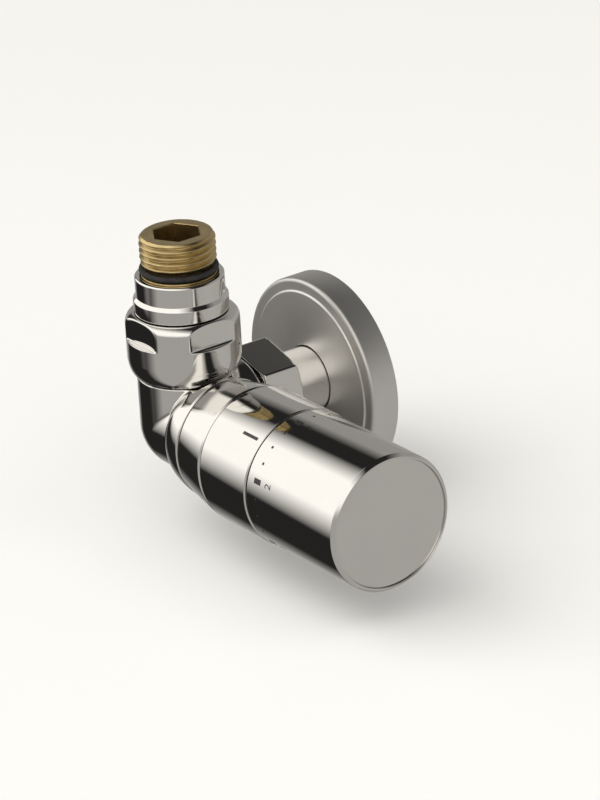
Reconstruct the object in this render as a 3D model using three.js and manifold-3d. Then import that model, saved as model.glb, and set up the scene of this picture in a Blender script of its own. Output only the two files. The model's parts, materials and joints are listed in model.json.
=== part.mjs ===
// Thermostatic radiator valve, corner pattern, in millimetres with +Z up.
// The origin is where the axis of the radiator tail crosses the radiator's lower face. The valve hangs
// below it: its three legs meet at the corner, from which the riser goes up, the head goes to +X and the
// pipe goes to +Y, into the wall. Each leg has a group, whose +Z runs along the leg from the corner.

import * as THREE from 'three';
import { mergeVertices } from 'three/addons/utils/BufferGeometryUtils.js';
import Module from 'manifold-3d';

const wasm = await Module();
wasm.setup();

// Driving dimensions
const CORNER_DROP = 43.5; // from the radiator's lower face to the corner
const GAP = 0.3; // between pieces that touch
const LEG_R = 13.3; // the body's legs
const HEAD_END = 90.5; // from the corner to the front of the handle
const WALL = 49.5; // from the corner to the wall
const FINE = 36; // sides of the large turned pieces
const MEDIUM = 24;
const COARSE = 16;

// Riser, up to the radiator
const RISER_SHOULDER = 14.4;
const RISER_THREAD_R = 11.85;
const RISER_TOP = 24;
const UNION_NUT_R = 15.5;
const UNION_FLAT = 13.7; // from the axis to each wrench flat
const UNION_FLAT_FOOT = 25.6;
const UNION_NUT_TOP = 32.5;
const TAIL_BORE_R = 6;
const TAIL_SHANK_R = 10.3;
const TAIL_THREAD_R = 10.45; // G 1/2 male thread
const TAIL_TOP = CORNER_DROP + 11;
const TAIL_HEX = 12.2; // across flats of the key socket in the tail

// Pipe leg
const PIPE_BORE_R = 7.8; // takes a 15 mm pipe
const PIPE_STOP = 11;
const PIPE_LEG_END = 17.5;
const PIPE_THREAD_R = 10.85; // M22 male thread
const PIPE_THREAD_END = 24.5;
const COMPRESSION_FLATS = 26; // across flats
const COMPRESSION_END = 29.4;
const SLEEVE_R = 9.2;
const ROSETTE_R = 28.5;
const ROSETTE_FRONT = 40.5;
const ROSETTE_FACE_R = 24.7; // the flat middle of its front
const ROSETTE_WALL = 1.5;

// Head leg: valve insert
const FLARE_START = 7.8;
const FLARE_END = 18;
const FLARE_R = 16.85;
const INSERT_BORE_R = 9.9;
const SEAT_R = 4.5;
const SEAT_LIP_R = 5.8;
const SEAT_FACE = 4.4;
const LIFT = 2.05; // of the disc off its seat, at rest
const SPINDLE_R = 2;
const HEAD_THREAD_R = 14.85; // M30 male thread
const SPINDLE_TIP = 32;

// Head leg: head
const CONE_END = 31.3;
const BASE_R = 19.1;
const SEAM = 52.2; // where the fixed base meets the handle
const HANDLE_R = 18.9;
const HANDLE_BORE_R = 16.9;
const CORE_NECK_R = 12.8;
const GUIDE_R = 15.2; // the core's guide tube, outside
const CARRIER_R = 13.3;
const SENSOR_R = 11.2;
const STOP_HALF = 6; // degrees, half the width of a limit pin
const STOP_AT = 12; // degrees from the index to the middle of a limit pin
const INDEX_TILT = 41; // degrees from straight up to the index, towards the room

const COLOURS = {
  chrome: { color: 0xc9c6c0, roughness: 0.06, metalness: 1 },
  brass: { color: 0xb8934a, roughness: 0.3, metalness: 1 },
  steel: { color: 0xa9abad, roughness: 0.25, metalness: 1 },
  rubber: { color: 0x161616, roughness: 0.8, metalness: 0 },
  whitePlastic: { color: 0xe8e6df, roughness: 0.45, metalness: 0 },
  darkPlastic: { color: 0x2a2a2c, roughness: 0.5, metalness: 0 },
  sensorMetal: { color: 0xc08a5c, roughness: 0.3, metalness: 1 },
};

const degrees = (angle) => (angle * Math.PI) / 180;

// A solid or ring turned about +Z. The outline is a list of [radius, height] points that runs
// up the outside, and either starts and ends on the axis or closes on itself.
function turned(outline, sides = FINE) {
  const points = outline.map(([radius, height]) => new THREE.Vector2(radius, height));
  return new THREE.LatheGeometry(points, sides).rotateX(Math.PI / 2);
}

// A ring with a plain rectangular section.
function ring(innerR, outerR, low, high, sides = FINE) {
  return turned([[innerR, low], [outerR, low], [outerR, high], [innerR, high], [innerR, low]], sides);
}

function rod(radius, low, high, sides = FINE) {
  return turned([[0, low], [radius, low], [radius, high], [0, high]], sides);
}

// A rubber ring with a round section.
function oRing(innerR, thickness, height) {
  const outline = [];
  const corners = 8;
  for (let i = 0; i <= corners; i += 1) {
    const turn = ((i % corners) / corners) * 2 * Math.PI;
    const radius = innerR + (thickness / 2) * (1 + Math.cos(turn));
    outline.push([radius, height + (thickness / 2) * Math.sin(turn)]);
  }
  return turned(outline, MEDIUM);
}

// Points along a smooth bend from one point to another, pulled towards a third.
function bend(from, towards, to, steps) {
  const curve = new THREE.QuadraticBezierCurve(
    new THREE.Vector2(...from),
    new THREE.Vector2(...towards),
    new THREE.Vector2(...to),
  );
  return curve.getPoints(steps).map((point) => [point.x, point.y]);
}

// An upright prism with a regular outline, given its distance across flats. Its first flat faces
// the turn angle.
function prism(sideCount, acrossFlats, low, high, turn = 0) {
  const cornerR = acrossFlats / 2 / Math.cos(Math.PI / sideCount);
  const shape = new THREE.Shape();
  for (let i = 0; i < sideCount; i += 1) {
    const angle = degrees(turn) + ((i + 0.5) / sideCount) * 2 * Math.PI;
    const corner = [cornerR * Math.cos(angle), cornerR * Math.sin(angle)];
    if (i === 0) {
      shape.moveTo(...corner);
    } else {
      shape.lineTo(...corner);
    }
  }
  const solid = new THREE.ExtrudeGeometry(shape, { depth: high - low, bevelEnabled: false });
  return solid.translate(0, 0, low);
}

// A block of a ring: part of a turn, between two radii and two heights.
function sector(innerR, outerR, low, high, middle, half) {
  const shape = new THREE.Shape();
  const from = degrees(middle - half);
  const to = degrees(middle + half);
  shape.absarc(0, 0, outerR, from, to, false);
  shape.absarc(0, 0, innerR, to, from, true);
  const curveSegments = Math.max(2, Math.round(half / 9));
  const solid = new THREE.ExtrudeGeometry(shape, { depth: high - low, bevelEnabled: false, curveSegments });
  return solid.translate(0, 0, low);
}

// A coil of round wire about +Z.
class Coil extends THREE.Curve {
  constructor(radius, low, high, turns) {
    super();
    Object.assign(this, { radius, low, high, turns });
  }

  getPoint(share, target = new THREE.Vector3()) {
    const angle = share * this.turns * 2 * Math.PI;
    const height = this.low + share * (this.high - this.low);
    return target.set(this.radius * Math.cos(angle), this.radius * Math.sin(angle), height);
  }
}

function spring(radius, wireR, low, high, turns) {
  const section = new THREE.Shape();
  section.absarc(0, 0, wireR, 0, 2 * Math.PI, false);
  return new THREE.ExtrudeGeometry(section, {
    steps: Math.round(turns * Math.max(14, radius * 3.5)),
    curveSegments: 3,
    extrudePath: new Coil(radius, low + wireR, high - wireR, turns),
  });
}

// Joining and cutting
function solidOf(geometry) {
  const bare = geometry.index ? geometry.toNonIndexed() : geometry.clone();
  bare.deleteAttribute('normal');
  bare.deleteAttribute('uv');
  const merged = mergeVertices(bare, 1e-4);
  const corners = [];
  for (let i = 0; i < merged.index.count; i += 3) {
    const [a, b, c] = [0, 1, 2].map((k) => merged.index.getX(i + k));
    if (a !== b && b !== c && c !== a) {
      corners.push(a, b, c);
    }
  }
  return new wasm.Manifold(new wasm.Mesh({
    numProp: 3,
    vertProperties: new Float32Array(merged.attributes.position.array),
    triVerts: new Uint32Array(corners),
  }));
}

function geometryOf(solid) {
  const { vertProperties, triVerts } = solid.getMesh();
  const geometry = new THREE.BufferGeometry();
  geometry.setAttribute('position', new THREE.BufferAttribute(new Float32Array(vertProperties), 3));
  geometry.setIndex(new THREE.BufferAttribute(new Uint32Array(triVerts), 1));
  return geometry;
}

function carve(base, { add = [], cut = [], keep = [] }) {
  let solid = solidOf(base);
  add.forEach((piece) => {
    solid = solid.add(solidOf(piece));
  });
  keep.forEach((piece) => {
    solid = solid.intersect(solidOf(piece));
  });
  cut.forEach((piece) => {
    solid = solid.subtract(solidOf(piece));
  });
  return geometryOf(solid);
}

// Groups, one to a leg
const valve = new THREE.Group();
const corner = new THREE.Group();
corner.position.z = -CORNER_DROP;
valve.add(corner);
const riser = new THREE.Group();
const head = new THREE.Group();
head.rotation.y = Math.PI / 2;
const pipe = new THREE.Group();
pipe.rotation.x = -Math.PI / 2;
corner.add(riser, head, pipe);

function place(group, name, finish, geometry) {
  const mesh = new THREE.Mesh(geometry, new THREE.MeshStandardMaterial(COLOURS[finish]));
  mesh.name = name;
  group.add(mesh);
}

const alongX = (geometry) => geometry.rotateY(Math.PI / 2);
const alongY = (geometry) => geometry.rotateX(-Math.PI / 2);

// Body: the riser leg with a rounded foot, the pipe leg and the flared head leg, bored out in three
// directions
function bodySolid() {
  const foot = [];
  const steps = 9;
  for (let i = 0; i <= steps; i += 1) {
    const turn = (i / steps) * (Math.PI / 2);
    foot.push([LEG_R * Math.sin(turn), -LEG_R * Math.cos(turn)]);
  }
  const riserLeg = turned([
    ...foot,
    [LEG_R, RISER_SHOULDER],
    [RISER_THREAD_R, RISER_SHOULDER],
    [RISER_THREAD_R, RISER_TOP - 0.8],
    [RISER_THREAD_R - 0.8, RISER_TOP],
    [0, RISER_TOP],
  ]);
  const pipeLeg = alongY(turned([
    [0, 0.5],
    [LEG_R - 0.5, 0.5],
    [LEG_R, 1.5],
    [LEG_R, PIPE_LEG_END - 0.7],
    [LEG_R - 0.7, PIPE_LEG_END],
    [PIPE_THREAD_R, PIPE_LEG_END],
    [PIPE_THREAD_R, PIPE_THREAD_END - 0.7],
    [PIPE_THREAD_R - 0.7, PIPE_THREAD_END],
    [0, PIPE_THREAD_END],
  ]));
  const flare = bend([LEG_R, FLARE_START], [FLARE_R - 0.7, FLARE_START + 2.6], [FLARE_R, FLARE_END - 0.5], 7);
  const headLeg = alongX(turned([
    [0, 0.5],
    [LEG_R - 0.5, 0.5],
    [LEG_R, 1.5],
    ...flare,
    [FLARE_R - 0.4, FLARE_END],
    [0, FLARE_END],
  ]));
  // Room for the union nut to turn beside the flare
  const spotFace = rod(UNION_NUT_R + 0.4, RISER_SHOULDER, RISER_TOP);
  const tailSocket = turned([
    [0, 11.2],
    [7, 11.2],
    [7, 17],
    [9, 17],
    [9, RISER_TOP + 1],
    [0, RISER_TOP + 1],
  ], MEDIUM);
  const outlet = rod(4.2, -1, 11.5, COARSE).translate(-2.4, 0, 0);
  const seatBore = alongX(rod(SEAT_R, -6.6, SEAT_FACE + 1, COARSE));
  const discChamber = alongX(turned([
    [0, SEAT_FACE],
    [SEAT_LIP_R, SEAT_FACE],
    [SEAT_LIP_R, SEAT_FACE - 0.5],
    [9.3, SEAT_FACE - 0.5],
    [9.3, 11],
    [INSERT_BORE_R, 11.6],
    [INSERT_BORE_R, FLARE_END + 1],
    [0, FLARE_END + 1],
  ], MEDIUM));
  const pipeSocket = alongY(turned([
    [0, PIPE_STOP],
    [PIPE_BORE_R, PIPE_STOP],
    [PIPE_BORE_R, 21.7],
    [9.3, PIPE_THREAD_END],
    [9.3, PIPE_THREAD_END + 1],
    [0, PIPE_THREAD_END + 1],
  ], MEDIUM));
  const inlet = alongY(rod(3.4, 0, PIPE_STOP + 0.5, COARSE)).translate(7.6, 0, 0);
  return carve(riserLeg, {
    add: [pipeLeg, carve(headLeg, { cut: [spotFace] })],
    cut: [tailSocket, outlet, seatBore, discChamber, pipeSocket, inlet],
  });
}

place(corner, 'valve_body', 'chrome', bodySolid());

// Riser: tail, its seals and sleeve, and the union nut
function tailSolid() {
  const shank = turned([
    [TAIL_BORE_R, 17.5],
    [8.7, 17.5],
    [8.7, 19.6],
    [7.5, 19.6],
    [7.5, 21.9],
    [8.7, 21.9],
    [8.7, RISER_TOP + GAP],
    [11.5, RISER_TOP + GAP],
    [11.5, 26.6],
    [TAIL_SHANK_R, 27.6],
    [TAIL_SHANK_R, CORNER_DROP],
    [9.1, CORNER_DROP + 0.2],
    [9.1, CORNER_DROP + 2.2],
    [TAIL_THREAD_R, CORNER_DROP + 2.6],
    [TAIL_THREAD_R, TAIL_TOP - 1],
    [TAIL_THREAD_R - 0.9, TAIL_TOP],
    [TAIL_BORE_R, TAIL_TOP],
    [TAIL_BORE_R, 17.5],
  ], FINE);
  const keySocket = prism(6, TAIL_HEX, TAIL_TOP - 12, TAIL_TOP + 1);
  return carve(shank, { cut: [keySocket] });
}

function unionNutSolid() {
  const holeR = TAIL_SHANK_R + 0.4;
  const foot = bend([13.6, 14.7], [15.3, 16.6], [UNION_NUT_R, 19.6], 4);
  const shoulder = bend([UNION_NUT_R, 29.6], [UNION_NUT_R, 31.7], [13.5, UNION_NUT_TOP], 5);
  const nut = turned([
    ...foot,
    ...shoulder,
    [holeR, UNION_NUT_TOP],
    [holeR, 28.2],
    [11.85, 27],
    [RISER_THREAD_R + 0.35, 27],
    [RISER_THREAD_R + 0.35, 14.7],
    [13.6, 14.7],
  ]);
  const flats = [0, 90, 180, 270].map((turn) => new THREE.BoxGeometry(6, 24, 10)
    .translate(UNION_FLAT + 3, 0, UNION_FLAT_FOOT + 5)
    .rotateZ(degrees(turn)));
  return carve(nut, { cut: flats });
}

place(riser, 'tailpiece', 'brass', tailSolid());
place(riser, 'tail_o_ring', 'rubber', oRing(7.6, 1.3, 20.75));
place(riser, 'radiator_o_ring', 'rubber', oRing(9.2, 1.6, CORNER_DROP + 1.2));
place(riser, 'union_nut', 'chrome', unionNutSolid());
place(riser, 'tail_sleeve', 'chrome', turned([
  [TAIL_SHANK_R + GAP, UNION_NUT_TOP + GAP],
  [12.9, UNION_NUT_TOP + GAP],
  [12.9, 36.4],
  [12.1, 37.4],
  [12.1, CORNER_DROP - 0.9],
  [11.8, CORNER_DROP - 0.5],
  [TAIL_SHANK_R + GAP, CORNER_DROP - 0.5],
  [TAIL_SHANK_R + GAP, UNION_NUT_TOP + GAP],
]));

// Pipe leg: seal, thrust ring, hexagonal nut, sleeve and rosette
function compressionNutSolid() {
  const low = PIPE_LEG_END + 0.5;
  const cornerR = COMPRESSION_FLATS / 2 / Math.cos(Math.PI / 6);
  const barrel = turned([
    [0, low],
    [cornerR - 0.9, low],
    [cornerR + 0.2, low + 0.7],
    [cornerR + 0.2, COMPRESSION_END - 0.7],
    [cornerR - 0.9, COMPRESSION_END],
    [0, COMPRESSION_END],
  ]);
  const bore = turned([
    [0, low - 1],
    [PIPE_THREAD_R + 0.35, low - 1],
    [PIPE_THREAD_R + 0.35, COMPRESSION_END - 1.8],
    [PIPE_BORE_R + 0.4, COMPRESSION_END - 1.8],
    [PIPE_BORE_R + 0.4, COMPRESSION_END + 1],
    [0, COMPRESSION_END + 1],
  ], MEDIUM);
  const hexagon = prism(6, COMPRESSION_FLATS, low, COMPRESSION_END, 45);
  return carve(hexagon, { keep: [barrel], cut: [bore] });
}

function rosetteOutline() {
  const boreR = SLEEVE_R + GAP;
  const inside = ROSETTE_R - ROSETTE_WALL;
  const hub = 4;
  return [
    [boreR, ROSETTE_FRONT],
    [ROSETTE_FACE_R, ROSETTE_FRONT],
    [ROSETTE_FACE_R + 0.4, ROSETTE_FRONT + 0.4],
    [ROSETTE_R - 0.9, ROSETTE_FRONT + 0.4],
    [ROSETTE_R - 0.3, ROSETTE_FRONT + 0.7],
    [ROSETTE_R, ROSETTE_FRONT + 1.3],
    [ROSETTE_R, WALL],
    [inside, WALL],
    [inside, ROSETTE_FRONT + ROSETTE_WALL + 0.6],
    [boreR + hub, ROSETTE_FRONT + ROSETTE_WALL + 0.6],
    [boreR + hub, WALL - 1.5],
    [boreR, WALL - 1.5],
    [boreR, WALL - 3.2],
    [boreR + 1.5, WALL - 3.2],
    [boreR + 1.5, WALL - 5.4],
    [boreR, WALL - 5.4],
    [boreR, ROSETTE_FRONT],
  ];
}

place(pipe, 'pipe_seal', 'rubber', turned([
  [PIPE_BORE_R + 0.05, 22.3],
  [8, 22.3],
  [9, PIPE_THREAD_END - 0.35],
  [9, PIPE_THREAD_END + GAP],
  [10.7, PIPE_THREAD_END + GAP],
  [10.7, 25.7],
  [PIPE_BORE_R + 0.05, 25.7],
  [PIPE_BORE_R + 0.05, 22.3],
], MEDIUM));
place(pipe, 'thrust_ring', 'brass', ring(PIPE_BORE_R + 0.2, 10.8, 26, 27.3, MEDIUM));
place(pipe, 'compression_nut', 'chrome', compressionNutSolid());
const sleeve = ring(PIPE_BORE_R + 0.1, SLEEVE_R, COMPRESSION_END + GAP, WALL - GAP, MEDIUM);
place(pipe, 'pipe_sleeve', 'chrome', sleeve);
place(pipe, 'wall_rosette', 'chrome', turned(rosetteOutline()));
place(pipe, 'rosette_o_ring', 'rubber', oRing(SLEEVE_R + 0.15, 1.5, WALL - 4.3));

// Head leg, valve insert: housing, seals, spring and the train that closes the seat
const DISC_FACE = SEAT_FACE + LIFT;
const SPRING_LOW = 14.6;
const SPRING_HIGH = 19.3;
const SPRING_WIRE_R = 0.3; // thin enough for the coil to close by the full lift without its turns meeting
const SPRING_TURNS = 2.5;
const COLLAR_TOP = 20.6;
const CHAMBER_TOP = 22.8;
const GLAND_FLOOR = 24.6;

place(head, 'insert_housing', 'brass', turned([
  [6.5, 11.8],
  [9.55, 11.8],
  [9.55, 15.2],
  [8.4, 15.2],
  [8.4, 17.1],
  [9.55, 17.1],
  [9.55, FLARE_END + GAP],
  [13, FLARE_END + GAP],
  [13, 19.6],
  [HEAD_THREAD_R, 20.2],
  [HEAD_THREAD_R, 26],
  [HEAD_THREAD_R - 0.7, 26.7],
  [8.2, 26.7],
  [8.2, 28.2],
  [5.5, 28.2],
  [5.5, GLAND_FLOOR],
  [SPINDLE_R + GAP, GLAND_FLOOR],
  [SPINDLE_R + GAP, CHAMBER_TOP],
  [6.5, CHAMBER_TOP],
  [6.5, 11.8],
], MEDIUM));
place(head, 'insert_o_ring', 'rubber', oRing(8.5, 1.3, 16.15));
place(head, 'spring_guide', 'brass', ring(SPINDLE_R + GAP, 6.2, 12.9, SPRING_LOW - GAP, COARSE));
place(head, 'return_spring', 'steel', spring(4.2, SPRING_WIRE_R, SPRING_LOW, SPRING_HIGH, SPRING_TURNS));
place(head, 'valve_spindle', 'steel', turned([
  [0, 9.3],
  [SPINDLE_R, 9.3],
  [SPINDLE_R, SPRING_HIGH + GAP],
  [5.6, SPRING_HIGH + GAP],
  [5.6, COLLAR_TOP],
  [SPINDLE_R, COLLAR_TOP],
  [SPINDLE_R, SPINDLE_TIP - 0.5],
  [SPINDLE_R - 0.5, SPINDLE_TIP],
  [0, SPINDLE_TIP],
], COARSE));
place(head, 'disc_holder', 'brass', turned([
  [0, DISC_FACE + 1.3],
  [6.3, DISC_FACE + 1.3],
  [6.3, DISC_FACE + 2.2],
  [3.4, DISC_FACE + 2.2],
  [3.4, 10.4],
  [SPINDLE_R + GAP, 10.4],
  [SPINDLE_R + GAP, 9],
  [0, 9],
], COARSE));
place(head, 'disc_seal', 'rubber', rod(6.1, DISC_FACE, DISC_FACE + 1, COARSE));
place(head, 'gland_o_ring', 'rubber', oRing(SPINDLE_R + 0.2, 1.9, 25.8));
place(head, 'gland_nut', 'brass', carve(
  turned([[0, 27], [5.1, 27], [5.1, 28.5], [7, 28.5], [7, 30.1], [0, 30.1]], COARSE),
  { keep: [prism(6, 11, 26, 31)], cut: [rod(SPINDLE_R + GAP, 26, 31, COARSE)] },
));

// Head leg, head: ring nut, base and core
const CORE_FLANGE = 33.7;
const GUIDE_END = 62;
const NECK_GROOVE = [27.9, 29.3];
const SNAP_GROOVE = [58, 59.2];

// In the head group local +X points down and local +Y into the wall
const indexTurn = 180 + INDEX_TILT;

place(head, 'head_ring_nut', 'chrome', turned([
  [HEAD_THREAD_R + 0.35, FLARE_END + GAP],
  [FLARE_R - 0.4, FLARE_END + GAP],
  [FLARE_R, FLARE_END + 0.8],
  [BASE_R - 0.15, CONE_END - 0.5],
  [BASE_R - 0.5, CONE_END],
  [CORE_NECK_R + GAP, CONE_END],
  [CORE_NECK_R + GAP, NECK_GROOVE[1] + GAP],
  [HEAD_THREAD_R + 0.35, NECK_GROOVE[1] + GAP],
  [HEAD_THREAD_R + 0.35, FLARE_END + GAP],
]));

function baseSolid() {
  const shell = turned([
    [CORE_NECK_R + GAP, CONE_END + GAP],
    [BASE_R - 0.4, CONE_END + GAP],
    [BASE_R, CONE_END + 0.8],
    [BASE_R, SEAM - 0.3],
    [BASE_R - 0.3, SEAM],
    [17.6, SEAM],
    [17.6, 33.4],
    [CORE_NECK_R + GAP, 33.4],
    [CORE_NECK_R + GAP, CONE_END + GAP],
  ]);
  const slot = new THREE.BoxGeometry(1, 1.3, 7)
    .translate(BASE_R, 0, 47.3)
    .rotateZ(degrees(indexTurn));
  return carve(shell, { cut: [slot] });
}

place(head, 'head_base', 'chrome', baseSolid());
place(head, 'index_mark', 'darkPlastic', new THREE.BoxGeometry(0.3, 0.7, 6.4)
  .translate(BASE_R - 0.2, 0, 47.3)
  .rotateZ(degrees(indexTurn)));

function coreSolid() {
  const frame = turned([
    [6.5, 27.3],
    [CORE_NECK_R - 0.4, 27.3],
    [CORE_NECK_R, 27.7],
    [CORE_NECK_R, NECK_GROOVE[0]],
    [11.6, NECK_GROOVE[0]],
    [11.6, NECK_GROOVE[1]],
    [CORE_NECK_R, NECK_GROOVE[1]],
    [CORE_NECK_R, CORE_FLANGE],
    [17.3, CORE_FLANGE],
    [17.3, CORE_FLANGE + 2],
    [GUIDE_R, CORE_FLANGE + 2],
    [GUIDE_R, SNAP_GROOVE[0]],
    [14.3, SNAP_GROOVE[0]],
    [14.3, SNAP_GROOVE[1]],
    [GUIDE_R, SNAP_GROOVE[1]],
    [GUIDE_R, GUIDE_END],
    [CARRIER_R + 0.35, GUIDE_END],
    [CARRIER_R + 0.35, 38.6],
    [6.5, 38.6],
    [6.5, 27.3],
  ]);
  const glandRoom = rod(8.6, 27, 31, MEDIUM);
  const keyways = [0, 180].map((turn) => sector(CARRIER_R, GUIDE_R - 0.6, 42, GUIDE_END + 1, turn, 8));
  return carve(frame, { cut: [glandRoom, ...keyways] });
}

place(head, 'head_core', 'whitePlastic', coreSolid());

// A split spring ring that sits loosely in a groove.
function splitRing(innerR, outerR, [low, high]) {
  return sector(innerR, outerR, low + 0.15, high - 0.15, 0, 172);
}

place(head, 'nut_retaining_ring', 'steel', splitRing(11.9, 14.6, NECK_GROOVE));
place(head, 'handle_snap_ring', 'steel', splitRing(14.6, 16.5, SNAP_GROOVE));
[['limit_pin_low', -STOP_AT], ['limit_pin_high', STOP_AT]].forEach(([name, offset]) => {
  const foot = CORE_FLANGE + 2 + GAP;
  place(head, name, 'darkPlastic', sector(GUIDE_R + GAP, 17, foot, 54.6, indexTurn + offset, STOP_HALF));
});

// Head leg, sensor: carrier, cartridge, piston, pin and overtravel spring
function carrierSolid() {
  const cup = turned([
    [6, 42.6],
    [CARRIER_R, 42.6],
    [CARRIER_R, 66],
    [HANDLE_BORE_R - 0.35, 66],
    [HANDLE_BORE_R - 0.35, 71],
    [SENSOR_R + GAP, 71],
    [SENSOR_R + GAP, 43.7],
    [6, 43.7],
    [6, 42.6],
  ]);
  const keys = [0, 180].map((turn) => sector(CARRIER_R - 0.5, GUIDE_R - 0.9, 45, 60, turn, 6.5));
  return carve(cup, { add: keys });
}

place(head, 'push_pin', 'darkPlastic', turned([
  [0, SPINDLE_TIP + GAP],
  [3.6, SPINDLE_TIP + GAP],
  [5.2, 33.6],
  [5.2, 36],
  [3, 36.6],
  [3, 38.6],
  [0, 38.6],
], COARSE));
place(head, 'sensor_piston', 'steel', rod(2.4, 38.9, 47, COARSE));
place(head, 'sensor_cartridge', 'sensorMetal', turned([
  [0, 50],
  [2.7, 50],
  [2.7, 40],
  [5.6, 40],
  [5.6, 44],
  [SENSOR_R - 1, 44],
  [SENSOR_R, 45],
  [SENSOR_R, 61],
  [SENSOR_R - 1, 62],
  [0, 62],
], MEDIUM));
place(head, 'sensor_carrier', 'whitePlastic', carrierSolid());
place(head, 'overtravel_spring', 'steel', spring(8, 0.5, 62.3, 68.4, 3.5));
place(head, 'spring_cap', 'brass', rod(SENSOR_R, 68.7, 70.7, MEDIUM));

// Head leg, handle: turning sleeve with its stop lug, and the disc that closes it
function handleSolid() {
  const sleeve = turned([
    [17.4, SEAM + GAP],
    [HANDLE_R - 0.3, SEAM + GAP],
    [HANDLE_R, SEAM + 0.6],
    [HANDLE_R, HEAD_END - 0.9],
    [HANDLE_R - 0.9, HEAD_END],
    [17.7, HEAD_END],
    [17.7, HEAD_END - 2.6],
    [HANDLE_BORE_R, HEAD_END - 2.6],
    [HANDLE_BORE_R, 57.6],
    [GUIDE_R + 0.4, 57.6],
    [GUIDE_R + 0.4, 55.4],
    [17.4, 55.4],
    [17.4, SEAM + GAP],
  ]);
  const lug = sector(GUIDE_R + 0.4, 17.8, SEAM + 0.6, 56, indexTurn + 180, 10);
  return carve(sleeve, { add: [lug] });
}

place(head, 'head_handle', 'chrome', handleSolid());
place(head, 'handle_end_cap', 'chrome', turned([
  [0, HEAD_END - 1.8],
  [15, HEAD_END - 1.8],
  [15, HEAD_END - 6],
  [16.5, HEAD_END - 6],
  [16.5, HEAD_END - 2.2],
  [17.3, HEAD_END - 2.2],
  [17.3, HEAD_END - 0.5],
  [17.1, HEAD_END - 0.3],
  [0, HEAD_END - 0.3],
]));

export default valve;
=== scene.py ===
# Thermostatic radiator valve in polished chrome, shown at the photograph's viewing angle.
# The turned pieces take their outlines from the frame's own nodes, get rounded edges and are spun finely.
# The body, the nuts and the tail are meshed from distance fields, so that legs, flats and threads blend.

import json
import math

import bmesh
import bpy
import numpy as np
from mathutils import Matrix, Vector


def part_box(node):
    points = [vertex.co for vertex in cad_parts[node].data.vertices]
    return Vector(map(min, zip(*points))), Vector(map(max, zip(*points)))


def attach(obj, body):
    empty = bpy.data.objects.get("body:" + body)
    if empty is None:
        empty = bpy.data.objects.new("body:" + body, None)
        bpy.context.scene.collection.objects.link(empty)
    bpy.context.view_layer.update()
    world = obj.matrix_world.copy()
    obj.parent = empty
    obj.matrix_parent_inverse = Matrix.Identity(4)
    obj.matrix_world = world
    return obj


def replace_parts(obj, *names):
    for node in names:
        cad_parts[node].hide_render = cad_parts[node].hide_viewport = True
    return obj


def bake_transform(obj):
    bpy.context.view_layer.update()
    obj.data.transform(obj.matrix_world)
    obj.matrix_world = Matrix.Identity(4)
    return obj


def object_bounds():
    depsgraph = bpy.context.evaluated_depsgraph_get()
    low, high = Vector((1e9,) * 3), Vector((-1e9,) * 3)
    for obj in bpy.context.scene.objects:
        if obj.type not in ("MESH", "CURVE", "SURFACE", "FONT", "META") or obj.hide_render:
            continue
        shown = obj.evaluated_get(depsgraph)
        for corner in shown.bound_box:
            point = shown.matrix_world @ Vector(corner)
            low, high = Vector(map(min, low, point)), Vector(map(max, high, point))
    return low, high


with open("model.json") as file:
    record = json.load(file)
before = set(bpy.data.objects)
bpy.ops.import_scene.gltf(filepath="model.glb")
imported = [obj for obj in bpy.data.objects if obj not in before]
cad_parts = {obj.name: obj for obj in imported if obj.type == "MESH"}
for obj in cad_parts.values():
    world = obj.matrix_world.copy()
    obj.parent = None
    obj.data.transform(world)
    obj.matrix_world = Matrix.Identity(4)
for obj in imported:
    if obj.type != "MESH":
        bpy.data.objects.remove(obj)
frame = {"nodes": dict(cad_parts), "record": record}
cad_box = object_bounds()

MM = 0.001
CORNER = Vector((0, 0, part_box("head_handle")[0].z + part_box("head_handle")[1].z)) / 2
SPIN_STEPS = 144
EDGE = 0.25 * MM  # radius of the rounded edges

# Directions of the three legs, each with the direction its angles count from
LEGS = {
    "riser": (Vector((0, 0, 1)), Vector((1, 0, 0))),
    "pipe": (Vector((0, 1, 0)), Vector((1, 0, 0))),
    "head": (Vector((1, 0, 0)), Vector((0, 0, -1))),
}


# Materials

def add_node(tree, kind, inputs=None, **settings):
    """A shader node whose inputs are linked where a socket is given, and set where a value is."""
    made = tree.nodes.new(kind)
    for key, value in settings.items():
        setattr(made, key, value)
    for key, value in (inputs or {}).items():
        if isinstance(value, bpy.types.NodeSocket):
            tree.links.new(value, made.inputs[key])
        else:
            made.inputs[key].default_value = value
    return made


def colour_ramp(tree, factor, stops):
    """The colour from a ramp through stops of (position, colour)."""
    made = add_node(tree, "ShaderNodeValToRGB", {"Fac": factor})
    elements = made.color_ramp.elements
    while len(elements) < len(stops):
        elements.new(0.5)
    for element, (position, colour) in zip(elements, stops):
        element.position = position
        element.color = (*colour, 1)
    return made.outputs["Color"]


def darker(colour, share):
    return [share * part for part in colour]


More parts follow.
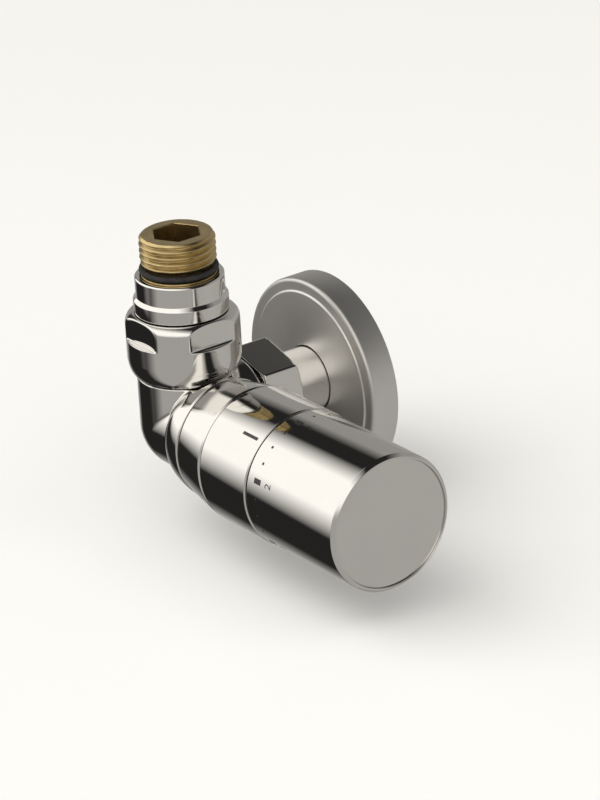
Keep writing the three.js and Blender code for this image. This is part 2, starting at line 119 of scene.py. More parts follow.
class Shader:
    """A Principled material built node by node."""

    def __init__(self, name, **values):
        self.material = bpy.data.materials.new(name)
        self.material.use_nodes = True
        self.tree = self.material.node_tree
        self.bsdf = self.tree.nodes["Principled BSDF"]
        for socket, value in values.items():
            self.bsdf.inputs[socket.replace("_", " ")].default_value = value
        self.place = self.node("ShaderNodeTexCoord").outputs["Object"]

    def node(self, kind, inputs=None, **settings):
        return add_node(self.tree, kind, inputs, **settings)

    def noise(self, size, detail=3.0, stretch=(1, 1, 1)):
        """Noise whose lumps measure about size metres."""
        place = self.node("ShaderNodeMapping", {"Vector": self.place, "Scale": stretch}).outputs[0]
        scale = {"Vector": place, "Scale": 1 / size, "Detail": detail}
        return self.node("ShaderNodeTexNoise", scale).outputs["Fac"]

    def ramp(self, factor, *stops):
        return colour_ramp(self.tree, factor, stops)

    def between(self, factor, low, high):
        return self.node("ShaderNodeMapRange", {"Value": factor, "To Min": low, "To Max": high}).outputs[0]

    def link(self, output, socket):
        self.tree.links.new(output, self.bsdf.inputs[socket])

    def colour(self, factor, *stops):
        self.link(self.ramp(factor, *stops), "Base Color")

    def roughness(self, factor, low, high):
        self.link(self.between(factor, low, high), "Roughness")

    def bump(self, height, strength, distance):
        values = {"Height": height, "Strength": strength, "Distance": distance}
        self.link(self.node("ShaderNodeBump", values).outputs[0], "Normal")


BLACK, WHITE = (0.0, 0.0, 0.0), (1.0, 1.0, 1.0)
CHROME_TINT = (0.80, 0.785, 0.755)


def chrome(name, haziness=0.035):
    """Plated and polished: faint waves in the plating, a breath of haze and a few fine wipe marks."""
    made = Shader(name, Metallic=1.0)
    made.colour(made.noise(9 * MM), (0.3, CHROME_TINT), (0.75, darker(CHROME_TINT, 0.97)))
    haze = made.between(made.noise(5 * MM, 5), haziness, haziness + 0.05)
    wipes = made.ramp(made.noise(0.5 * MM, 2, (0.04, 1, 1)), (0.66, BLACK), (0.74, WHITE))
    rough = made.node("ShaderNodeMath", {0: wipes, 1: 0.02, 2: haze}, operation="MULTIPLY_ADD").outputs[0]
    made.link(rough, "Roughness")
    made.bump(made.noise(6 * MM, 2), 0.03, 0.02 * MM)
    return made.material


def satin_disc(name, axis):
    """Chrome finished on a lathe: very fine rings round the head's axis."""
    made = Shader(name, Metallic=1.0, Anisotropic=0.5)
    made.colour(made.noise(12 * MM), (0.3, (0.80, 0.78, 0.745)), (0.7, (0.77, 0.75, 0.72)))
    parts = made.node("ShaderNodeSeparateXYZ", {"Vector": made.place}).outputs
    height = made.node("ShaderNodeMath", {0: parts["Z"], 1: -axis.z}, operation="ADD").outputs[0]
    flat = made.node("ShaderNodeCombineXYZ", {"X": parts["Y"], "Y": height}).outputs[0]
    radius = made.node("ShaderNodeVectorMath", {0: flat}, operation="LENGTH").outputs["Value"]
    fine = {"W": radius, "Scale": 9000.0, "Detail": 2.0}
    rings = made.node("ShaderNodeTexNoise", fine, noise_dimensions="1D").outputs["Fac"]
    made.roughness(rings, 0.14, 0.24)
    made.bump(rings, 0.05, 0.01 * MM)
    return made.material


def turned_metal(name, colour, rough=0.28):
    """Bare machined metal: colour drifting with handling, fine tool marks and a few dull spots."""
    made = Shader(name, Metallic=1.0)
    made.colour(made.noise(4 * MM, 4), (0.35, colour), (0.8, darker(colour, 0.72)))
    made.roughness(made.noise(0.35 * MM, 3), rough - 0.08, rough + 0.14)
    made.bump(made.noise(0.2 * MM, 2), 0.12, 0.02 * MM)
    return made.material


def rubber(name):
    """Matt black rubber with a dusting of lighter patches."""
    made = Shader(name, Specular_IOR_Level=0.35)
    made.colour(made.noise(1.5 * MM, 4), (0.3, (0.012, 0.012, 0.013)), (0.8, (0.035, 0.034, 0.033)))
    made.roughness(made.noise(0.4 * MM), 0.55, 0.8)
    made.bump(made.noise(0.25 * MM, 3), 0.25, 0.03 * MM)
    return made.material


def moulded(name, colour):
    """Injection-moulded plastic: spark-eroded grain and slight flow marks, translucent where it is pale."""
    pale = colour[0] > 0.5
    made = Shader(name, Subsurface_Weight=0.02 if pale else 0.0)
    made.colour(made.noise(6 * MM, 3), (0.3, colour), (0.8, darker(colour, 0.93)))
    made.roughness(made.noise(0.5 * MM), 0.36, 0.50)
    made.bump(made.noise(0.12 * MM, 2), 0.15, 0.02 * MM)
    return made.material


def inlay_paint(name):
    """The black that fills the index and the scale."""
    made = Shader(name, Coat_Weight=0.2)
    made.colour(made.noise(0.6 * MM, 4), (0.3, (0.010, 0.010, 0.011)), (0.8, (0.030, 0.029, 0.028)))
    made.roughness(made.noise(0.3 * MM), 0.35, 0.55)
    made.bump(made.noise(0.1 * MM), 0.2, 0.01 * MM)
    return made.material


FINISH = {
    "polished_chrome": chrome("polished_chrome"),
    "bare_brass": turned_metal("bare_brass", (0.72, 0.56, 0.28)),
    "bright_steel": turned_metal("bright_steel", (0.62, 0.62, 0.61), 0.22),
    "black_rubber": rubber("black_rubber"),
    "white_plastic": moulded("white_plastic", (0.80, 0.79, 0.75)),
    "dark_plastic": moulded("dark_plastic", (0.022, 0.022, 0.024)),
    "sensor_shell": turned_metal("sensor_shell", (0.78, 0.50, 0.32)),
}
DISC = satin_disc("turned_disc", CORNER)
ROSETTE = chrome("rosette_chrome", haziness=0.42)
INLAY = inlay_paint("black_inlay")
SLOT_OF = {part["node"]: part["material_slot"] for part in frame["record"]["subparts"]}
BODY_OF = {node: body for body, nodes in frame["record"]["behaviour"]["bodies"].items() for node in nodes}

for node, shown in frame["nodes"].items():
    shown.data.materials.clear()
    shown.data.materials.append(FINISH[SLOT_OF[node]])


def loose(name, mesh, node, material=None):
    """The mesh as a piece in a node's finish and material slot, unless others are given."""
    piece = bpy.data.objects.new(name, mesh)
    bpy.context.scene.collection.objects.link(piece)
    mesh.materials.append(material or FINISH[SLOT_OF[node]])
    return piece


def finished(name, mesh, node, material=None):
    """A piece that rides with the node's body."""
    piece = loose(name, mesh, node, material)
    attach(piece, BODY_OF[node])
    return piece


# Turned pieces

ON_MERIDIAN = 0.004 * MM  # how far from a meridian a corner may stand and still belong to it
ON_AXIS = 1e-7  # a radius below this is the axis itself
KEPT_TURN = math.radians(2)  # outlines that turn less than this stay as they are
BEND_TURN = math.radians(28)  # and those that turn less than this are drawn out into a bend
MOST_OF_SIDE = 0.48  # how much of a side one rounded corner may take


def leg_frame(leg):
    """The leg's axis, the direction its angles count from, and the one a quarter turn on."""
    along, across = LEGS[leg]
    return along, across, along.cross(across)


def mesh_of(made, name, sharp=None):
    """The faces as a mesh that faces outwards, smooth but for edges beyond the sharp angle in degrees."""
    bmesh.ops.recalc_face_normals(made, faces=made.faces)
    mesh = bpy.data.meshes.new(name)
    made.to_mesh(mesh)
    made.free()
    if sharp:
        mesh.shade_smooth()
        mesh.set_sharp_from_angle(angle=math.radians(sharp))
    return mesh


def outline_of(node, leg, angle=0.0):
    """The node's outline along one meridian: its (radius, height) points, and whether it closes on itself."""
    along, across, third = leg_frame(leg)
    outward = across * math.cos(angle) + third * math.sin(angle)
    sideways = along.cross(outward)
    mesh = frame["nodes"][node].data
    places = []
    for vertex in mesh.vertices:
        local = vertex.co - CORNER
        radius, height = local.dot(outward), local.dot(along)
        on_meridian = abs(local.dot(sideways)) < ON_MERIDIAN and radius > -ON_MERIDIAN
        places.append((round(max(radius, 0), 6), round(height, 6)) if on_meridian else None)
    near = {}
    for edge in mesh.edges:
        a, b = (places[v] for v in edge.vertices)
        if a and b and a != b:
            near.setdefault(a, set()).add(b)
            near.setdefault(b, set()).add(a)
    ends = [point for point, others in near.items() if len(others) == 1]
    start = min(ends, key=lambda p: p[1]) if ends else min(near)
    path = [start]
    while True:
        onward = [point for point in near[path[-1]] if point not in path]
        if not onward:
            break
        path.append(min(onward, key=lambda p: p[1]) if len(path) == 1 else onward[0])
    return path, not ends


def rounded(path, closed, edge=EDGE):
    """The outline with its sharp corners rounded to a small radius, and its shallow ones smoothed out."""
    points = [Vector(point) for point in path]
    count = len(points)
    result = []
    for i, corner in enumerate(points):
        if not closed and i in (0, count - 1):
            result.append(tuple(corner))
            continue
        before, after = points[i - 1] - corner, points[(i + 1) % count] - corner
        turn = math.pi - before.angle(after)
        if turn < KEPT_TURN:
            result.append(tuple(corner))
            continue
        longest = MOST_OF_SIDE * min(before.length, after.length)
        wanted = longest if turn < BEND_TURN else edge * math.tan(turn / 2)
        reach = min(wanted, longest)
        a, b = corner + before.normalized() * reach, corner + after.normalized() * reach
        steps = 5 if turn > BEND_TURN else 4
        for k in range(steps + 1):
            t = k / steps
            result.append(tuple(a * (1 - t) ** 2 + corner * 2 * t * (1 - t) + b * t * t))
    return result


def spun(name, path, closed, leg):
    """A smooth mesh made by turning an outline of (radius, height) points about a leg's axis."""
    along, across, third = leg_frame(leg)
    made = bmesh.new()
    rings = []
    for radius, height in path:
        if radius < ON_AXIS:
            rings.append([made.verts.new(CORNER + along * height)] * SPIN_STEPS)
            continue
        ring = []
        for k in range(SPIN_STEPS):
            angle = 2 * math.pi * k / SPIN_STEPS
            outward = across * math.cos(angle) + third * math.sin(angle)
            ring.append(made.verts.new(CORNER + outward * radius + along * height))
        rings.append(ring)
    pairs = list(zip(rings, rings[1:])) + ([(rings[-1], rings[0])] if closed else [])
    for low, high in pairs:
        for k in range(SPIN_STEPS):
            after = (k + 1) % SPIN_STEPS
            corners = []
            for vertex in (low[k], low[after], high[after], high[k]):
                if vertex not in corners:
                    corners.append(vertex)
            if len(corners) > 2:
                made.faces.new(corners)
    return mesh_of(made, name, sharp=40)


def turned_piece(name, node, leg, edge=EDGE, material=None):
    """The node's outline with rounded edges, spun finely in its place."""
    path, closed = outline_of(node, leg)
    piece = finished(name, spun(name, rounded(path, closed, edge), closed, leg), node, material)
    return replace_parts(piece, node)


turned_piece("sleeve_ring", "tail_sleeve", "riser")
turned_piece("pipe_cover", "pipe_sleeve", "pipe")
turned_piece("rosette", "wall_rosette", "pipe", material=ROSETTE)
turned_piece("cone_nut", "head_ring_nut", "head", edge=0.35 * MM)
turned_piece("base_shell", "head_base", "head")
turned_piece("handle_shell", "head_handle", "head", edge=0.45 * MM)


def end_disc():
    """The disc in the handle's front, pressed in until it closes the frame's working gap round it."""
    path, closed = outline_of("handle_end_cap", "head")
    bore = min(radius for radius, height in outline_of("head_handle", "head")[0] if height > path[-1][1])
    rim = max(radius for radius, _ in path)
    path = [(bore - 0.04 * MM if radius == rim else radius, height) for radius, height in path]
    mesh = spun("end_disc", rounded(path, closed, 0.12 * MM), closed, "head")
    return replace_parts(finished("end_disc", mesh, "handle_end_cap", DISC), "handle_end_cap")


end_disc()
turned_piece("radiator_seal", "radiator_o_ring", "riser")
turned_piece("rosette_seal", "rosette_o_ring", "pipe")
turned_piece("inner_thrust_ring", "thrust_ring", "pipe")
turned_piece("inner_pipe_seal", "pipe_seal", "pipe")


# Pieces meshed from distance fields. Places are in millimetres from the corner where the three legs meet.

def softening(a, b, reach):
    overlap = np.maximum(reach - np.abs(a - b), 0)
    return overlap**2 / (4 * reach)


def smooth_max(a, b, reach):
    """The larger of two distances, which rounds the edge where they meet."""
    return np.maximum(a, b) + softening(a, b, reach)


def cylinder(p, along, radius, low, high, centre=(0, 0, 0)):
    """Distance to a cylinder along one axis, 0 for X, 1 for Y or 2 for Z."""
    others = [axis for axis in range(3) if axis != along]
    r = np.hypot(*(p[:, axis] - centre[axis] for axis in others))
    h = p[:, along]
    return np.maximum(r - radius, np.maximum(low - h, h - high))


def polygon(r, h, path):
    """Distance to a closed outline of (radius, height) points, negative inside."""
    nearest = np.full(len(r), 1e9)
    crossings = np.zeros(len(r), int)
    for (r0, h0), (r1, h1) in zip(path, path[1:] + path[:1]):
        dr, dh = r1 - r0, h1 - h0
        share = np.clip(((r - r0) * dr + (h - h0) * dh) / (dr * dr + dh * dh), 0, 1)
        nearest = np.minimum(nearest, (r - r0 - share * dr) ** 2 + (h - h0 - share * dh) ** 2)
        if dh:
            across = (h0 > h) != (h1 > h)
            crossings += across & (r < r0 + (h - h0) * dr / dh)
    return np.sqrt(nearest) * np.where(crossings % 2, -1, 1)


def netted(name, field, low, high, step):
    """The field's zero surface: a vertex in each cell it crosses, drawn onto it, with true normals."""
    axes = [np.arange(low[i] - step, high[i] + 2 * step, step) for i in range(3)]
    grid = np.stack(np.meshgrid(*axes, indexing="ij"), -1)
    shape = grid.shape[:3]
    value = field(grid.reshape(-1, 3)).reshape(shape)
    cells = tuple(n - 1 for n in shape)
    total, count = np.zeros((*cells, 3)), np.zeros(cells)
    crossed = []
    for axis in range(3):
        start = tuple(slice(0, -1) if i == axis else slice(None) for i in range(3))
        end = tuple(slice(1, None) if i == axis else slice(None) for i in range(3))
        a, b = value[start], value[end]
        cut = (a < 0) != (b < 0)
        share = np.where(cut, a / np.where(cut, a - b, 1), 0)
        spot = grid[start] + share[..., None] * (grid[end] - grid[start])
        crossed.append((cut, a < 0))
        one, two = [i for i in range(3) if i != axis]
        for shift_one in (0, 1):
            for shift_two in (0, 1):
                into = [slice(None)] * 3
                out = [slice(None)] * 3
                for i, shift in ((one, shift_one), (two, shift_two)):
                    into[i] = slice(shift, shift + cells[i])
                    out[i] = slice(0, cells[i])
                into, out = tuple(into), tuple(out)
                total[out] += np.where(cut[into][..., None], spot[into], 0)
                count[out] += cut[into]
    filled = count > 0
    index = np.full(cells, -1)
    index[filled] = np.arange(filled.sum())
    points = total[filled] / count[filled][:, None]

    def slope(at):
        small = 0.02
        moves = np.eye(3) * small
        return np.stack([(field(at + move) - field(at - move)) / (2 * small) for move in moves], -1)

    for _ in range(3):
        grad = slope(points)
        away = field(points) / np.maximum((grad**2).sum(1), 0.2)
        points = points - np.clip(away, -step, step)[:, None] * grad
    normals = slope(points)
    normals /= np.maximum(np.linalg.norm(normals, axis=1), 1e-9)[:, None]

    faces = []
    for axis, (cut, inside) in enumerate(crossed):
        one, two = (axis + 1) % 3, (axis + 2) % 3
        where = np.argwhere(cut)
        where = where[(where[:, one] > 0) & (where[:, two] > 0)]
        where = where[(where[:, one] < cells[one]) & (where[:, two] < cells[two])]
        steps = []
        for back_one, back_two in ((1, 1), (0, 1), (0, 0), (1, 0)):
            cell = where.copy()
            cell[:, one] -= back_one
            cell[:, two] -= back_two
            steps.append(index[tuple(cell.T)])
        quads = np.stack(steps, -1)
        flip = ~inside[tuple(where.T)]
        quads[flip] = quads[flip][:, ::-1]
        faces.append(quads)
    quads = np.concatenate(faces)
    mesh = bpy.data.meshes.new(name)
    places = points * MM + np.array(CORNER)
    mesh.from_pydata(places.tolist(), [], quads.tolist())
    mesh.shade_smooth()
    mesh.normals_split_custom_set_from_vertices(normals.tolist())
    return mesh


def in_mm(low, high):
    """A node's box in millimetres from the corner."""
    return [(end - CORNER) / MM for end in (low, high)]


LEG_R = (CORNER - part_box("valve_body")[0]).x / MM  # the riser's skin is the body's left end
RISER_SHOULDER, RISER_THREAD_R, RISER_TOP = 14.4, 11.85, 24.0
PIPE_SHOULDER, PIPE_THREAD_R, PIPE_TOP = 17.5, 10.85, 24.5
FLARE_START, FLARE_END, FLARE_R = 7.8, 18.0, 16.85
PIPE_BORE_R, PIPE_STOP = 7.8, 11.0
NUT_R = (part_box("union_nut")[1].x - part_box("union_nut")[0].x) / 2 / MM
NUT_GAP = 0.4
PAST_END = 60  # beyond the end of every leg

# Each bore: its axis, radius, start and end, and where its axis stands if it isn't central
BORES = (
    (1, PIPE_BORE_R, PIPE_STOP, PAST_END),  # pipe socket
    (1, 9.3, 22.2, PAST_END),  # and its mouth
    (1, 3.4, 0, PAST_END, (7.6, 0, 0)),  # inlet, from the pipe to the disc's chamber
    (2, 9.0, 17, PAST_END),  # tail socket
    (2, 7.0, 11.2, PAST_END),  # and its foot
    (2, 4.2, -1, PAST_END, (-2.4, 0, 0)),  # outlet, from the seat to the tail
    (0, 4.5, -6.6, PAST_END),  # bore of the seat
    (0, 9.3, 4.4, PAST_END),  # chamber of the disc
    (0, 9.9, 11.6, PAST_END),  # socket of the insert
)


def flare_radius(x):
    """The head leg's radius: straight, then swelling along a smooth bend."""
    t = np.linspace(0, 1, 60)
    span = (1 - t) ** 2 * FLARE_START + 2 * t * (1 - t) * (FLARE_START + 2.6) + t * t * (FLARE_END - 0.5)
    size = (1 - t) ** 2 * LEG_R + 2 * t * (1 - t) * (FLARE_R - 0.7) + t * t * FLARE_R
    return np.interp(x, span, size)


def body_field(p):
    """Three round legs on one round corner, with softened mitres, bored out along each leg."""
    x, y, z = p.T
    # Each leg is a rod with a ball end: the vector from its axis, and the distance to its skin
    spokes = [
        np.stack([np.minimum(p[:, i], 0) if i == axis else p[:, i] for i in range(3)], -1)
        for axis in range(3)
    ]
    lengths = [np.linalg.norm(spoke, axis=1) for spoke in spokes]
    head = (lengths[0] - flare_radius(x)) * 0.9
    head = smooth_max(head, x - FLARE_END, 0.5)
    room = np.maximum(np.hypot(x, y) - NUT_R - NUT_GAP, RISER_SHOULDER - z)
    head = smooth_max(head, -room, 0.3)
    pipe = smooth_max(lengths[1] - LEG_R, y - PIPE_SHOULDER, 0.9)
    riser = smooth_max(lengths[2] - LEG_R, z - RISER_SHOULDER, 0.5)
    skins = [head, pipe, riser]
    solid = riser
    for a, b in ((0, 2), (1, 2), (0, 1)):
        # The mitre is softened only where the two skins really meet at an angle
        meet = (spokes[a] * spokes[b]).sum(1) / np.maximum(lengths[a] * lengths[b], 1e-6)
        reach = np.maximum(1.5 * (1 - meet**2), 1e-3)
        mitre = np.minimum(skins[a], skins[b]) - softening(skins[a], skins[b], reach)
        solid = np.minimum(solid, mitre)
    # The softened mitres stay out of the room in which the union nut turns
    solid = smooth_max(solid, -room, 0.15)
    solid = np.minimum(solid, cylinder(p, 2, RISER_THREAD_R, 0, RISER_TOP))
    solid = np.minimum(solid, cylinder(p, 1, PIPE_THREAD_R, 0, PIPE_TOP))
    hollow = np.minimum.reduce([cylinder(p, *bore) for bore in BORES])
    return smooth_max(solid, -hollow, 0.3)


def as_mm(path):
    return [(radius / MM, height / MM) for radius, height in path]


def field_piece(name, node, field, step):
    """The field's surface within the node's box, as a piece in its place."""
    low, high = in_mm(*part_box(node))
    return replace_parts(finished(name, netted(name, field, low, high, step), node), node)


NUT_OUTLINE = as_mm(rounded(*outline_of("union_nut", "riser", math.radians(40))))
NUT_FLAT, NUT_LEDGE = 13.7, 25.6


def union_nut_field(p):
    """A round nut with four wrench flats sunk into its upper half."""
    x, y, z = p.T
    nut = polygon(np.hypot(x, y), z, NUT_OUTLINE)
    for side in (x, y):
        sunk = smooth_max(NUT_FLAT - np.abs(side), NUT_LEDGE - z, 0.5)
        nut = smooth_max(nut, -sunk, 0.35)
    return nut


HEX_LOW, HEX_HIGH = (in_mm(*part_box("compression_nut"))[k].y for k in (0, 1))
HEX_FLAT = 13.0
HEX_TURN = math.radians(45)
HEX_CHAMFER_R, HEX_CHAMFER_SLOPE = 14.1, 1.73
HEX_LIP = 1.8  # the wall in front of the thread
HEX_SLEEVE_GAP, HEX_THREAD_GAP = 0.4, 0.35
SIXTH = math.pi / 3  # of a turn


def hexagon_nut_field(p):
    """A hexagonal nut with turned chamfers at both ends, bored for the pipe and threaded behind."""
    x, y, z = p.T
    sides = [
        np.abs(x * math.cos(turn) - z * math.sin(turn)) - HEX_FLAT
        for turn in (HEX_TURN, HEX_TURN + SIXTH, HEX_TURN + 2 * SIXTH)
    ]
    nut = smooth_max(smooth_max(sides[0], sides[1], 0.4), sides[2], 0.4)
    r = np.hypot(x, z)
    from_end = np.minimum(y - HEX_LOW, HEX_HIGH - y)
    chamfer = (r - HEX_CHAMFER_R - HEX_CHAMFER_SLOPE * from_end) * 0.5
    nut = smooth_max(nut, chamfer, 0.15)
    nut = smooth_max(nut, -from_end, 0.2)
    thread = np.maximum(r - PIPE_THREAD_R - HEX_THREAD_GAP, y - HEX_HIGH + HEX_LIP)
    hollow = np.minimum(r - PIPE_BORE_R - HEX_SLEEVE_GAP, thread)
    return smooth_max(nut, -hollow, 0.25)


TAIL_BORE_R, TAIL_THREAD_R, TAIL_TOP = 6.0, 10.4, 54.5
TAIL_THREAD_LOW, TAIL_PITCH, TAIL_DEPTH = 46.2, 1.814, 1.0
TAIL_OUTLINE = [
    (TAIL_BORE_R, 17.5), (8.7, 17.5), (8.7, 19.6), (7.5, 19.6), (7.5, 21.9), (8.7, 21.9), (8.7, 24.3),
    (11.5, 24.3), (11.5, 26.6), (10.3, 27.6), (10.3, 43.5), (9.1, 43.7), (9.1, 45.7), (9.4, 46.0),
    (TAIL_THREAD_R, 47.0), (TAIL_THREAD_R, 53.5), (9.5, TAIL_TOP), (TAIL_BORE_R, TAIL_TOP),
]
KEY_FLAT, KEY_DEPTH = 6.1, 12


def tail_field(p):
    """The radiator tail: a shank with ring grooves, a screw thread at the top and a six-sided key socket."""
    x, y, z = p.T
    r = np.hypot(x, y)
    tail = polygon(r, z, TAIL_OUTLINE)
    turned = np.arctan2(y, x) / (2 * math.pi)
    wave = np.abs(((z / TAIL_PITCH - turned) % 1) * 2 - 1)
    crest = np.clip(wave * 1.25 - 0.12, 0, 1)
    fade = np.clip((z - TAIL_THREAD_LOW) / 0.8, 0, 1)
    groove = (r - TAIL_THREAD_R + TAIL_DEPTH * (1 - crest) * fade) * 0.62
    tail = smooth_max(tail, np.where(z > TAIL_THREAD_LOW, groove, -9.0), 0.15)
    key = np.maximum.reduce([
        np.abs(x * math.cos(turn) + y * math.sin(turn)) - KEY_FLAT
        for turn in (0, SIXTH, 2 * SIXTH)
    ])
    return smooth_max(tail, -np.maximum(key, TAIL_TOP - KEY_DEPTH - z), 0.25)


STEP = 0.3
field_piece("body_casting", "valve_body", body_field, STEP)
field_piece("riser_nut", "union_nut", union_nut_field, STEP * 0.85)
field_piece("hexagon_nut", "compression_nut", hexagon_nut_field, STEP * 0.85)
field_piece("radiator_tail", "tailpiece", tail_field, STEP * 0.85)


# The return spring, in two runs end to end, split near its middle

def coil(name, radius, wire, low, high, turns, share):
    """A run of a coil of round wire about the head's axis, between two shares of its length, ends closed."""
    along, across, third = leg_frame("head")
    steps, sides = 60, 12
    rise = (high - low) / (2 * math.pi * turns)
    made = bmesh.new()
    rings = []
    for i in range(steps + 1):
        done = share[0] + (share[1] - share[0]) * i / steps
        angle = done * turns * 2 * math.pi
        outward = across * math.cos(angle) + third * math.sin(angle)
        forward = (along.cross(outward) * radius + along * rise).normalized()
        upward = outward.cross(forward)
        centre = CORNER + outward * radius + along * (low + done * (high - low))
        rings.append([])
        for k in range(sides):
            spot = 2 * math.pi * k / sides
            rim = outward * math.cos(spot) + upward * math.sin(spot)
            rings[-1].append(made.verts.new(centre + rim * wire))
    for near, far in zip(rings, rings[1:]):
        for k in range(sides):
            made.faces.new((near[k], near[(k + 1) % sides], far[(k + 1) % sides], far[k]))
    made.faces.new(rings[0])
    made.faces.new(rings[-1])
    return mesh_of(made, name, sharp=50)


def return_spring():
    """The two runs. A hair's gap between them keeps their ends from lying in one plane."""
    wire, turns = 0.3 * MM, 2.5
    low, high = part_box("return_spring")
    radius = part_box("return_spring")[1].y - wire
    start, middle, end = (Vector((x, 0, CORNER.z)) for x in (low.x, (low.x + high.x) / 2, high.x))
    runs = (
        ("spring_fixed_run", (0.0, 0.4985), "valve", "sensor", start, middle),
        ("spring_moving_run", (0.5015, 1.0), "sensor", "plunger", middle, end),
    )
    for name, share, near_body, far_body, from_point, to_point in runs:
        mesh = coil(name, radius, wire, low.x + wire, high.x - wire, turns, share)
        piece = loose(name, mesh, "return_spring")
        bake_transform(piece)
        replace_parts(piece, "return_spring")


return_spring()


# The index on the base and the setting scale on the handle, as thin black inlays

INLAY_PROUD = 0.012 * MM
INLAY_DEPTH = 0.06 * MM
INLAY_STEP = 0.5 * MM  # longest edge, so that a mark follows the head's curve
INDEX_WIDTH = 0.9 * MM
BAR_WIDTH, BAR_LENGTH = 1.5 * MM, 2.8 * MM
DOT_R, DOT_SIDES = 0.42 * MM, 20
NUMERAL_HEIGHT, HEIGHT_TO_SIZE = 2.4 * MM, 1.42
BARS_AT, NUMERALS_AT = 4.4 * MM, 9.0 * MM  # from the seam between base and handle
SETTINGS = 6
SETTING_STEP = math.radians(60)


def on_head(flat, at, turn, skin):
    """Wraps flat faces, drawn round the origin in X and Y, onto the head, with their Y towards the valve."""
    along, across, third = leg_frame("head")
    for vertex in flat.verts:
        angle = turn - vertex.co.x / skin
        outward = across * math.cos(angle) + third * math.sin(angle)
        vertex.co = CORNER + along * (at - vertex.co.y) + outward * (skin + INLAY_PROUD + vertex.co.z)


def inlay(name, flat, at, turn, skin, node):
    """Flat faces as one closed inlay that follows the head's curve, on the body of a node."""
    for _ in range(3):
        long_edges = [edge for edge in flat.edges if edge.calc_length() > INLAY_STEP]
        if long_edges:
            bmesh.ops.subdivide_edges(flat, edges=long_edges, cuts=1)
        bmesh.ops.triangulate(flat, faces=flat.faces)
    deep = bmesh.ops.extrude_face_region(flat, geom=flat.faces[:], use_keep_orig=True)["geom"]
    for part in deep:
        if isinstance(part, bmesh.types.BMVert):
            part.co.z -= INLAY_DEPTH
    bmesh.ops.recalc_face_normals(flat, faces=flat.faces)
    on_head(flat, at, turn, skin)
    return finished(name, mesh_of(flat, name), node, INLAY)


def dot():
    flat = bmesh.new()
    bmesh.ops.create_circle(flat, cap_ends=True, segments=DOT_SIDES, radius=DOT_R)
    return flat


def bar(width, length):
    flat = bmesh.new()
    bmesh.ops.create_grid(flat, x_segments=2, y_segments=4, size=0.5)
    bmesh.ops.scale(flat, vec=(width, length, 1), verts=flat.verts)
    return flat


def numeral(text):
    """A digit's flat faces, centred on the origin."""
    curve = bpy.data.curves.new("numeral", "FONT")
    curve.body = text
    curve.size = NUMERAL_HEIGHT * HEIGHT_TO_SIZE
    curve.align_x, curve.align_y = "CENTER", "CENTER"
    curve.resolution_u = 6
    holder = bpy.data.objects.new("numeral", curve)
    drawn = bpy.data.meshes.new_from_object(holder)
    flat = bmesh.new()
    flat.from_mesh(drawn)
    bmesh.ops.remove_doubles(flat, verts=flat.verts, dist=1e-6)
    bpy.data.objects.remove(holder)
    bpy.data.curves.remove(curve)
    bpy.data.meshes.remove(drawn)
    return flat


def radius_of(node):
    low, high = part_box(node)
    return (high.y - low.y) / 2


def scale():
    """The index line, and a bar and a numeral for each setting with three dots between. At rest it is 2.5."""
    low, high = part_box("index_mark")
    middle = (low + high) / 2 - CORNER
    index_turn = math.atan2(middle.y, -middle.z)
    line = bar(INDEX_WIDTH, high.x - low.x)
    index = inlay("index_line", line, middle.x, index_turn, radius_of("head_base"), "index_mark")
    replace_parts(index, "index_mark")
    seam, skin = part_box("head_handle")[0].x, radius_of("head_handle")

    def mark(name, flat, from_seam, turn):
        inlay(name, flat, seam + from_seam, turn, skin, "head_handle")

    last = SETTINGS - 1
    for setting in range(SETTINGS):
        turn = index_turn - (setting - last / 2) * SETTING_STEP
        mark(f"scale_bar_{setting}", bar(BAR_WIDTH, BAR_LENGTH), BARS_AT, turn)
        mark(f"scale_numeral_{setting}", numeral(str(setting)), NUMERALS_AT, turn)
        for quarter in (1, 2, 3) if setting < last else ():
            mark(f"scale_dot_{setting}_{quarter}", dot(), BARS_AT, turn - quarter * SETTING_STEP / 4)


scale()


# Studio and camera

# Brightness of what stands round the studio, and the warmth of all of it
PANEL, ROOM, FLOOR_GREY, WALL_GREY, FLAG = 1.25, 0.42, 0.45, 0.33, 0.02
WARMTH = (1, 0.975, 0.935)
LAMP_AIM = (0.03, 0, -0.04)
EYE, ROLL, LENS = (0.989, -0.653, 0.477), math.radians(-3.4), 215


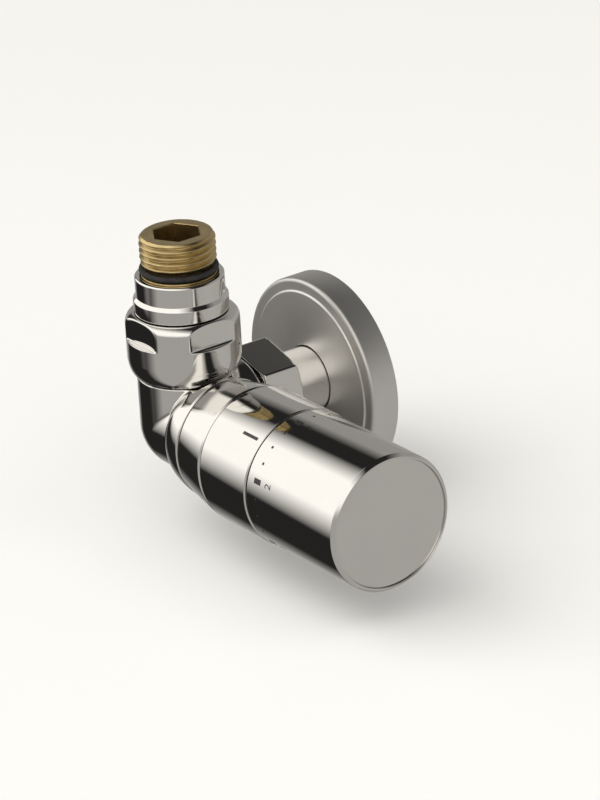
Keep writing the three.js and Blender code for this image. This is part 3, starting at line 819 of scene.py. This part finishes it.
def world_light():
    """The studio the chrome mirrors, by direction: a white panel in front, dark flags beside, grey walls."""
    world = bpy.data.worlds.new("studio")
    bpy.context.scene.world = world
    world.use_nodes = True
    tree = world.node_tree

    def node(kind, inputs=None, **settings):
        return add_node(tree, kind, inputs, **settings)

    def turn(rise, run):
        """The angle of (run, rise) as a share of a full turn, from 0 at -180 degrees to 1 at 180."""
        angle = node("ShaderNodeMath", {0: rise, 1: run}, operation="ARCTAN2").outputs[0]
        limits = {"Value": angle, "From Min": -math.pi, "From Max": math.pi}
        return node("ShaderNodeMapRange", limits).outputs[0]

    def around(rise, run, stops):
        """Grey by the angle of (run, rise), through stops of (degrees, brightness)."""
        places = [((degrees + 180) / 360, [grey * part for part in WARMTH]) for degrees, grey in stops]
        return colour_ramp(tree, turn(rise, run), places)

    def eased(value, start, end):
        """0 at start and 1 at end, with an eased run between."""
        limits = {"Value": value, "From Min": start, "From Max": end}
        return node("ShaderNodeMapRange", limits, interpolation_type="SMOOTHSTEP").outputs[0]

    def mixed(share, first, second):
        """The colour between two, the second where share is 1."""
        return node("ShaderNodeMix", {0: share, 6: first, 7: second}, data_type="RGBA").outputs[2]

    place = node("ShaderNodeTexCoord").outputs["Generated"]
    part = node("ShaderNodeSeparateXYZ", {"Vector": place}).outputs
    front = node("ShaderNodeMath", {0: part["Y"], 1: -1.0}, operation="MULTIPLY").outputs[0]
    # Round the head's axis, counted up from the room side: floor, flag, big white panel, flag, wall
    round_head = around(part["Z"], front, [
        (-180, WALL_GREY), (-125, FLOOR_GREY), (-85, FLAG), (-30, FLAG), (10, PANEL), (65, PANEL), (95, FLAG),
        (120, FLAG), (140, WALL_GREY), (180, WALL_GREY),
    ])
    # Round the riser, counted from +X towards the wall: room, wall, and a dark flag in the left corner
    round_riser = around(part["Y"], part["X"], [
        (-180, FLOOR_GREY), (-155, FLAG), (-120, FLAG), (-95, ROOM), (-20, ROOM), (45, ROOM + 0.05),
        (100, ROOM), (130, WALL_GREY), (160, FLOOR_GREY), (180, FLOOR_GREY),
    ])
    # Higher up: white on the room side, black overhead
    overhead = around(part["Z"], front, [
        (-180, WALL_GREY), (0, ROOM), (20, PANEL), (60, PANEL), (92, FLAG), (125, FLAG), (145, WALL_GREY),
        (180, WALL_GREY),
    ])
    right = mixed(eased(part["Z"], 0.0, 0.45), round_riser, overhead)
    whole = mixed(eased(part["X"], -0.35, -0.6), right, round_head)
    background = tree.nodes["Background"]
    tree.links.new(whole, background.inputs["Color"])
    background.inputs["Strength"].default_value = 1.0


def plain(name, colour, glow):
    """A matt surface with some light of its own."""
    made = Shader(name, Roughness=0.9, Specular_IOR_Level=0.1)
    made.colour(made.noise(0.4), (0.3, colour), (0.7, darker(colour, 0.985)))
    made.bsdf.inputs["Emission Color"].default_value = (*glow, 1)
    made.bsdf.inputs["Emission Strength"].default_value = 1.0
    return made.material


def studio():
    """The floor just under the valve and the backdrop round it. Neither shows in the chrome."""
    lowest = cad_box[0].z - 1 * MM
    bpy.ops.mesh.primitive_circle_add(vertices=96, radius=6, fill_type="NGON", location=(0, 0, lowest))
    floor = bpy.context.object
    floor.name = "floor"
    floor.data.materials.append(plain("floor", (0.80, 0.80, 0.79), (0.05, 0.05, 0.049)))
    bpy.ops.mesh.primitive_uv_sphere_add(segments=64, ring_count=32, radius=6.5, location=(0, 0, lowest))
    dome = bpy.context.object
    dome.name = "backdrop"
    # As bright as the floor's far edge, so that no horizon shows from low down
    dome.data.materials.append(plain("backdrop", (0.01, 0.01, 0.01), (0.485, 0.472, 0.452)))
    dome.visible_diffuse = False
    dome.visible_shadow = False
    dome.visible_transmission = False
    dome.visible_glossy = False
    floor.visible_glossy = False


def softbox(name, place, side, power):
    """A square lamp that points at the valve and doesn't show in its chrome."""
    data = bpy.data.lights.new(name, "AREA")
    data.shape = "RECTANGLE"
    data.size = data.size_y = side
    data.energy = power
    data.color = (1.0, 0.985, 0.96)
    lamp = bpy.data.objects.new(name, data)
    lamp.location = place
    lamp.rotation_mode = "QUATERNION"
    lamp.rotation_quaternion = (Vector(LAMP_AIM) - Vector(place)).to_track_quat("-Z", "Y")
    lamp.visible_glossy = False
    bpy.context.scene.collection.objects.link(lamp)


def camera():
    """Where the photograph was taken from, turned to look at the valve and rolled as the photograph shows."""
    data = bpy.data.cameras.new("camera")
    eye = bpy.data.objects.new("camera", data)
    bpy.context.scene.collection.objects.link(eye)
    eye.location = EYE
    aim = (cad_box[0] + cad_box[1]) / 2 + Vector((0, 0, -2 * MM))
    look = (aim - eye.location).to_track_quat("-Z", "Y")
    roll = Matrix.Rotation(ROLL, 3, "Z").to_quaternion()
    eye.rotation_mode = "QUATERNION"
    eye.rotation_quaternion = look @ roll
    data.sensor_width = 36
    data.sensor_fit = "AUTO"
    data.lens = LENS
    data.clip_start, data.clip_end = 0.01, 50
    bpy.context.scene.camera = eye


world_light()
studio()
softbox("key", (-0.5, -0.9, 1.1), side=1.4, power=8.7)
softbox("fill", (1.1, 0.3, 0.9), side=1.6, power=7)
softbox("overhead", (0.0, -0.1, 1.6), side=3.0, power=17)
camera()

bpy.context.scene.view_settings.view_transform = "Standard"
